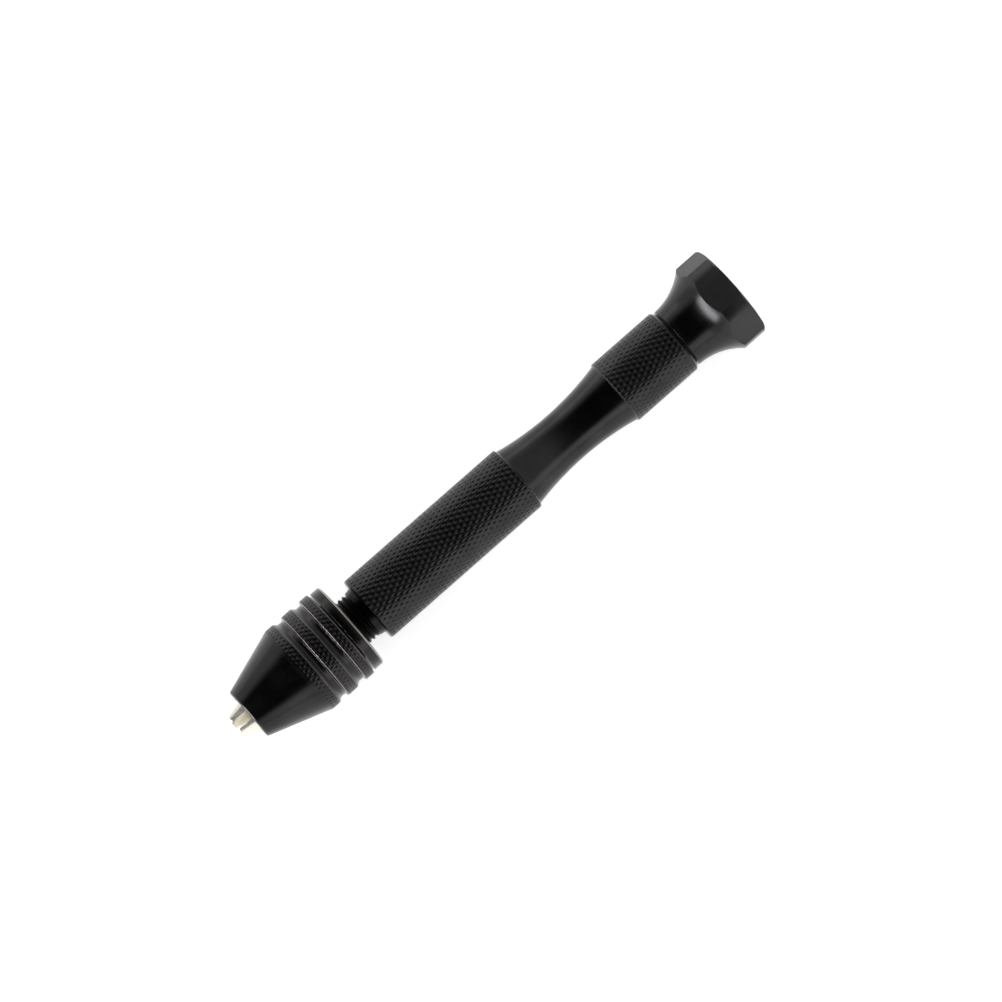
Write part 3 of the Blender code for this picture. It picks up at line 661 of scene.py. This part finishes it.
def make_sleeve():
    floor = RING_RADIUS - GROOVE_DEPTH
    fronts = [NOSE_FACE + CONE_LENGTH]
    for ring, groove in zip(RING_WIDTHS, GROOVE_WIDTHS):
        fronts.append(fronts[-1] + ring + groove)
    rears = [front + width for front, width in zip(fronts, RING_WIDTHS)]
    run_out = fronts[0] - KNURL_RUN_OUT
    cone_slope = (RING_RADIUS - NOSE_RADIUS) / CONE_LENGTH
    # A corner's last number is how bare and bright its edge is painted, as worn metal and as a painted
    # highlight; the rings' front edges get the most
    outline = [
        Corner(NOSE_FACE, NOSE_OPENING, 0.10),
        Corner(NOSE_FACE, NOSE_RADIUS - 0.12, 0.12, 0.15),
        Corner(NOSE_FACE + NOSE_EDGE, NOSE_RADIUS + 0.02, 0.10, 0.15),
        Corner(run_out - KNURL_FADE, RING_RADIUS - (KNURL_RUN_OUT + KNURL_FADE) * cone_slope, SHARP),
        Corner(run_out, RING_RADIUS - KNURL_RUN_OUT * cone_slope, SHARP),
        Corner(fronts[0], RING_RADIUS, 0.10),
    ]
    for rear, next_front in zip(rears, fronts[1:]):
        outline += [
            Corner(rear - PLAIN_MARGIN, RING_RADIUS, SHARP),
            Corner(rear, RING_RADIUS, 0.05, 0.25),
            Corner(rear + FRONT_BEVEL, floor, 0.12),
            Corner(next_front - REAR_BEVEL, floor, 0.04, 0.4),
            Corner(next_front, RING_RADIUS, 0.10, 1.0),
            Corner(next_front + PLAIN_MARGIN, RING_RADIUS, SHARP),
        ]
    clip_rear, clip_front = (SLEEVE_REAR - distance for distance in CLIP_GROOVE_FROM_REAR)
    outline += [
        Corner(rears[-1] - PLAIN_MARGIN, RING_RADIUS, SHARP),
        Corner(rears[-1], RING_RADIUS, 0.06, 0.5),
        Corner(rears[-1], RING_RADIUS - SKIRT_INSET, 0.03),
        Corner(SLEEVE_REAR, RING_RADIUS - SKIRT_INSET, 0.05),
        Corner(SLEEVE_REAR, SLEEVE_BORE),
        Corner(clip_rear, SLEEVE_BORE),
        Corner(clip_rear, CLIP_GROOVE_RADIUS),
        Corner(clip_front, CLIP_GROOVE_RADIUS),
        Corner(clip_front, SLEEVE_BORE),
        Corner(NOSE_FACE + BORE_START, SLEEVE_BORE),
        Corner(NOSE_FACE + JAW_CONE_END, NOSE_OPENING + JAW_CONE_END * math.tan(JAW_ANGLE)),
    ]
    spacing = RING_KNURL["Diamond Length"] / FACETS_PER_DIAMOND
    starts = [run_out, fronts[1] + PLAIN_MARGIN, fronts[2] + PLAIN_MARGIN]
    cuts = [Cut(start, rear - PLAIN_MARGIN, spacing) for start, rear in zip(starts, rears)]
    facets = RING_KNURL["Starts"] * FACETS_PER_DIAMOND
    sleeve = lathe("chuck_sleeve_cut", outline, facets, True, cuts)
    cut_pattern(sleeve, KNURL, RING_KNURL, FINISHES["black_chuck"])
    keep(sleeve, "chuck_sleeve", "sleeve", "black_chuck")


REAR_RING_BORE = 5.2
REAR_RING_CHAMFER = 0.22


def make_rear_ring():
    front = front_of("chuck_rear_ring")
    rear = rear_of("chuck_rear_ring")
    radius = width_of("chuck_rear_ring") / 2
    # A corner's last number is how bare and bright its edge is painted, as worn metal and as a painted
    # highlight
    outline = [
        Corner(front, REAR_RING_BORE, 0.1),
        Corner(front, radius, 0.10, 0.35),
        Corner(rear - REAR_RING_CHAMFER, radius, 0.10, 0.9),
        Corner(rear, radius - REAR_RING_CHAMFER, 0.14, 1.0),
        Corner(rear, REAR_RING_BORE, 0.1),
    ]
    ring = lathe("chuck_rear_ring_cut", outline)
    keep(ring, "chuck_rear_ring", "rear_ring", "black_chuck")


SOFT_EDGE = 0.05
SOFTENED_FROM = math.radians(14)
SHARP_FROM = math.radians(10)


def settled(obj):
    """Applies an object's modifiers, softening its edges, and removes the guides that they cut with."""
    bevel = obj.modifiers.new("soft_edges", "BEVEL")
    bevel.width = SOFT_EDGE * MM
    bevel.segments = 2
    bevel.limit_method = "ANGLE"
    bevel.angle_limit = SOFTENED_FROM
    bpy.context.view_layer.update()
    graph = bpy.context.evaluated_depsgraph_get()
    data = bpy.data.meshes.new_from_object(obj.evaluated_get(graph))
    data.name = obj.name
    for modifier in obj.modifiers:
        if modifier.type == "BOOLEAN":
            bpy.data.objects.remove(modifier.object)
    obj.modifiers.clear()
    obj.data = data
    data.shade_smooth()
    data.set_sharp_from_angle(angle=SHARP_FROM)
    return obj


def cut_with(obj, guide, operation="DIFFERENCE"):
    boolean = obj.modifiers.new(guide.name, "BOOLEAN")
    boolean.operation = operation
    boolean.object = guide


def plain_box(name, low, high, place):
    mesh = bmesh.new()
    bmesh.ops.create_cube(mesh, size=MM)
    low, high = Vector(low), Vector(high)
    bmesh.ops.scale(mesh, vec=high - low, verts=mesh.verts)
    bmesh.ops.translate(mesh, vec=(low + high) / 2 * MM, verts=mesh.verts)
    bmesh.ops.transform(mesh, matrix=place, verts=mesh.verts)
    return finished_mesh(name, mesh)


# Sizes of a jaw: places from its tip, and radii from the tool's axis when the jaws are closed
JAW_TIP_RADIUS = 1.23
JAW_TIP_EDGE = 0.14
JAW_CONE_LENGTH = 7.60
JAW_LENGTH = 10.60
JAW_OPENING = 0.80  # how far each jaw stands from closed
JAW_SIDE_GAP = 0.05
JAW_BORE_RADIUS, JAW_BORE_START = 1.00, 6.0
JAW_TAIL_INNER, JAW_TAIL_OUTER = 1.30, 3.20
JAW_NECK, JAW_NECK_HALF = (10.3, 12.35), 0.6
JAW_HEAD, JAW_HEAD_HALF = (11.7, 12.4), 1.2
PAST = 1.0  # how far a cutting guide reaches past what it cuts
WIDE = 12.0  # half the width of a guide that cuts a whole side away


def make_jaw(number):
    joints = {joint["name"]: joint for joint in frame["record"]["behaviour"]["joints"]}
    outward = Vector(joints[f"jaw_{number}_travel"]["axis"])
    turn = math.atan2(outward.z, outward.y)
    place = AXIS @ Matrix.Translation(outward * JAW_OPENING * MM) @ Matrix.Rotation(turn, 4, "X")
    shoulder = JAW_TIP_RADIUS + JAW_CONE_LENGTH * math.tan(JAW_ANGLE)
    tip = JAW_TIPS
    tail = tip + JAW_LENGTH
    outline = [
        Corner(tip, 0.0),
        Corner(tip, JAW_TIP_RADIUS - 0.12, 0.05),
        Corner(tip + JAW_TIP_EDGE, JAW_TIP_RADIUS + 0.04, 0.08),
        Corner(tip + JAW_CONE_LENGTH, shoulder, 0.1),
        Corner(tail, shoulder, 0.1),
        Corner(tail, 0.0),
    ]
    jaw = lathe(f"chuck_jaw_{number}", outline, JAW_FACETS, False, place=place)
    for side in (1, -1):
        lean = place @ Matrix.Rotation(side * math.pi / 3, 4, "X")
        low = (tip - PAST, -WIDE, -JAW_SIDE_GAP if side > 0 else -WIDE)
        high = (tip + WIDE, WIDE, WIDE if side > 0 else JAW_SIDE_GAP)
        cut_with(jaw, plain_box(f"jaw_{number}_side_guide_{side}", low, high, lean))
    bore = [
        Corner(tail + PAST, 0.0),
        Corner(tail + PAST, JAW_BORE_RADIUS, SHARP),
        Corner(tip + JAW_BORE_START, JAW_BORE_RADIUS, SHARP),
        Corner(tip + JAW_BORE_START, 0.0),
    ]
    cut_with(jaw, lathe(f"jaw_{number}_bore_guide", bore, HOLE_FACETS, False, place=place))
    tail_parts = {"neck": (JAW_NECK, JAW_NECK_HALF), "head": (JAW_HEAD, JAW_HEAD_HALF)}
    for name, ((start, end), half) in tail_parts.items():
        low = (tip + start, JAW_TAIL_INNER, -half)
        high = (tip + end, JAW_TAIL_OUTER, half)
        cut_with(jaw, plain_box(f"jaw_{number}_{name}_guide", low, high, place), "UNION")
    settled(jaw)
    keep(jaw, f"jaw_{number}", f"jaw_{number}", "bright_jaw_steel")


# ---------------------------------------------------------------------------------------------
# Cap
# ---------------------------------------------------------------------------------------------

CAP_LOW, CAP_HIGH = box_mm("swivel_cap")
HEAD_RADIUS = width_of("swivel_cap") / 2
ACROSS_FLATS = CAP_HIGH.z - CAP_LOW.z
FLARE_LENGTH = 6.78
FLARE_ROWS = 32
COLLAR_RADIUS = 5.135
COLLAR_LIP = 0.15
HEAD_LENGTH = 3.86
HEAD_CHAMFER = 0.34
HEAD_EDGE = 0.12
DOME_HEIGHT = 0.31
DOME_ROWS = 12
BEARING_SEAT_RADIUS, BEARING_SEAT_DEPTH = 4.6, 4.14
SCREW_POCKET_RADIUS, SCREW_POCKET_END = 3.5, 6.74
FLAT_LEAN = 0.01  # a face leaning less than this along the tool, and nearer than FLAT_SLACK to a flat's
FLAT_SLACK = 0.02  # place, is part of that flat


def make_cap():
    head_front = CAP_FRONT + FLARE_LENGTH
    rise = HEAD_RADIUS - COLLAR_RADIUS
    flare_radius = (FLARE_LENGTH**2 + rise**2) / (2 * rise)
    flare = []
    for place in np.linspace(CAP_FRONT + COLLAR_LIP, head_front, FLARE_ROWS):
        drop = flare_radius - math.sqrt(flare_radius**2 - (place - CAP_FRONT) ** 2)
        flare.append(Corner(float(place), COLLAR_RADIUS + drop, SHARP))
    edge_radius = HEAD_RADIUS - HEAD_CHAMFER
    dome_radius = (edge_radius**2 + DOME_HEIGHT**2) / (2 * DOME_HEIGHT)
    dome = []
    for r in np.linspace(0.0, edge_radius, DOME_ROWS):
        drop = dome_radius - math.sqrt(dome_radius**2 - r**2)
        dome.append(Corner(CAP_END - drop, float(r), HEAD_EDGE if r == edge_radius else SHARP))
    outline = [
        *dome,
        Corner(head_front + HEAD_LENGTH, HEAD_RADIUS, HEAD_EDGE),
        *reversed(flare),
        Corner(CAP_FRONT, COLLAR_RADIUS - 0.05, 0.05),
        Corner(CAP_FRONT, BEARING_SEAT_RADIUS),
        Corner(CAP_FRONT + BEARING_SEAT_DEPTH, BEARING_SEAT_RADIUS),
        Corner(CAP_FRONT + BEARING_SEAT_DEPTH, SCREW_POCKET_RADIUS),
        Corner(CAP_FRONT + SCREW_POCKET_END, SCREW_POCKET_RADIUS),
        Corner(CAP_FRONT + SCREW_POCKET_END, 0.0),
    ]
    cap = lathe("palm_cap", outline, closed=False)
    cut_with(cap, flats_guide(), "INTERSECT")
    settled(cap)
    mark_flats(cap)
    keep(cap, "swivel_cap", "cap", "black_anodised")


def flats_guide():
    """A hexagonal bar along the tool's axis, across the whole cap."""
    corner_radius = ACROSS_FLATS / 2 / math.cos(math.pi / 6) * MM
    length = (CAP_END - CAP_FRONT) * 3 * MM
    mesh = bmesh.new()
    bmesh.ops.create_cone(
        mesh, cap_ends=True, segments=6, radius1=corner_radius, radius2=corner_radius, depth=length
    )
    middle = Matrix.Translation(Vector(((CAP_FRONT + CAP_END) / 2, 0, AXIS_Z)) * MM)
    bmesh.ops.transform(mesh, matrix=middle @ Matrix.Rotation(math.pi / 2, 4, "Y"), verts=mesh.verts)
    return finished_mesh("cap_flats_guide", mesh)


def mark_flats(cap):
    """Stores which faces of the cap are its milled flats."""
    milled = cap.data.attributes.new("milled", "FLOAT", "FACE")
    for face in cap.data.polygons:
        middle = face.center / MM - Vector((0, 0, AXIS_Z))
        away = middle.dot(face.normal)
        on_a_flat = abs(face.normal.x) < FLAT_LEAN and abs(away - ACROSS_FLATS / 2) < FLAT_SLACK
        milled.data[face.index].value = 1.0 if on_a_flat else 0.0


make_handle()
make_stud()
make_sleeve()
make_rear_ring()
for jaw_number in (1, 2, 3):
    make_jaw(jaw_number)
make_cap()

# The pieces inside the tool keep the model's shape
for part in frame["record"]["subparts"]:
    data = frame["nodes"][part["node"]].data
    data.materials.clear()
    data.materials.append(FINISHES[part["material_slot"]])


# ---------------------------------------------------------------------------------------------
# Floor, light and camera
# ---------------------------------------------------------------------------------------------


FLOOR_HALF = 3.0
FLOOR_GLOW = 0.65


def make_floor():
    mesh = bmesh.new()
    bmesh.ops.create_grid(mesh, x_segments=1, y_segments=1, size=FLOOR_HALF)
    floor = finished_mesh("floor", mesh)
    material, shader = finish_base("floor_paper", 0.0, 0.9)
    shader.inputs["Base Color"].default_value = (0.93, 0.93, 0.93, 1)
    shader.inputs["Specular IOR Level"].default_value = 0.1
    shader.inputs["Emission Color"].default_value = (1, 1, 1, 1)
    shader.inputs["Emission Strength"].default_value = FLOOR_GLOW
    floor.data.materials.append(material)


# Two long soft boxes, one on each side: place, width and height in metres, and power
SOFT_BOXES = {
    "left_box": ((0.25, 0.80, 0.22), (1.2, 0.3), 1.0),
    "right_box": ((0.0, -0.80, 0.30), (1.2, 0.4), 1.0),
}


def make_soft_boxes():
    for name, (place, size, power) in SOFT_BOXES.items():
        data = bpy.data.lights.new(name, "AREA")
        data.shape = "RECTANGLE"
        data.size, data.size_y = size
        data.energy = power
        light = bpy.data.objects.new(name, data)
        light.location = place
        light.rotation_euler = (-Vector(place)).to_track_quat("-Z", "Y").to_euler()
        bpy.context.scene.collection.objects.link(light)


# The camera looks down on the lying tool from a little towards the jaws and the -Y side
CAMERA_LEAN_TO_JAWS = math.radians(4.0)
CAMERA_LEAN_ACROSS = math.radians(11.0)
AXIS_RISE_IN_VIEW = math.radians(41.29)
CAMERA_DISTANCE = 1.25
VIEW_WIDTH = 0.14844
AIM_RIGHT = 0.00240
AIM_UP = 0.00089
SENSOR_WIDTH = 36.0


def make_camera():
    lean, across = CAMERA_LEAN_TO_JAWS, CAMERA_LEAN_ACROSS
    towards = Vector((-math.sin(lean), -math.cos(lean) * math.sin(across), math.cos(lean) * math.cos(across)))
    tool_axis = Vector((1, 0, 0))
    seen_axis = (tool_axis - towards * tool_axis.dot(towards)).normalized()
    square_to_it = towards.cross(seen_axis)
    rise = AXIS_RISE_IN_VIEW
    right = seen_axis * math.cos(rise) - square_to_it * math.sin(rise)
    up = seen_axis * math.sin(rise) + square_to_it * math.cos(rise)
    middle = Vector(((JAW_TIPS + CAP_END) / 2, 0, AXIS_Z)) * MM
    aim = middle + right * AIM_RIGHT + up * AIM_UP
    data = bpy.data.cameras.new("camera")
    data.sensor_width = SENSOR_WIDTH
    data.lens = SENSOR_WIDTH * CAMERA_DISTANCE / VIEW_WIDTH
    data.clip_start = 0.01
    camera = bpy.data.objects.new("camera", data)
    turn = Matrix((right, up, towards)).transposed().to_4x4()
    camera.matrix_world = Matrix.Translation(aim + towards * CAMERA_DISTANCE) @ turn
    bpy.context.scene.collection.objects.link(camera)
    bpy.context.scene.camera = camera


# The studio around the tool, as brightness: a dark card overhead, a bright strip low beyond it towards the
# jaws, grey over the cap's end, and pale sides
CARD = 0.015
STRIP = 10.0
BEYOND_STRIP = 0.3
CAP_END_SKY = 0.66
SIDES = 0.85
# Where each gives way to the next, as slopes away from straight up: towards the jaws, and to either side
CARD_START = (-0.20, -0.08)
STRIP_START = (1.36, 1.56)
STRIP_END = (2.5, 2.9)
RIGHT_SIDE = (1.2, 2.2)
LEFT_SIDE = (0.9, 1.6)
LEAST_HEIGHT = 0.02  # keeps the slopes finite


def make_studio():
    world = bpy.data.worlds.new("studio")
    world.use_nodes = True
    maker = Maker(world.node_tree)
    direction = maker.node("ShaderNodeTexCoord")[0]
    x, y, z = maker.node("ShaderNodeSeparateXYZ", None, [direction])[:3]
    across = maker.node("ShaderNodeCombineXYZ", None, [0.0, y, z])[0]
    off_axis = maker.node("ShaderNodeVectorMath", {"operation": "LENGTH"}, [across])[1]
    to_jaws = x / off_axis.math("MAXIMUM", LEAST_HEIGHT) * -1
    to_right = y / z.math("MAXIMUM", LEAST_HEIGHT) * -1
    between_sides = (1 - to_right.clamped(*RIGHT_SIDE)) * (1 - (to_right * -1).clamped(*LEFT_SIDE))
    middle = CAP_END_SKY + to_jaws.clamped(*CARD_START) * (CARD - CAP_END_SKY)
    middle = middle + to_jaws.clamped(*STRIP_START) * (STRIP - CARD)
    middle = middle + to_jaws.clamped(*STRIP_END) * (BEYOND_STRIP - STRIP)
    sky = SIDES + between_sides * (middle - SIDES)
    background = world.node_tree.nodes["Background"]
    background.inputs["Color"].default_value = (1, 1, 1, 1)
    maker.tree.links.new(sky.socket, background.inputs["Strength"])
    bpy.context.scene.world = world
    bpy.context.scene.view_settings.view_transform = "Standard"


make_floor()
make_studio()
make_soft_boxes()
make_camera()
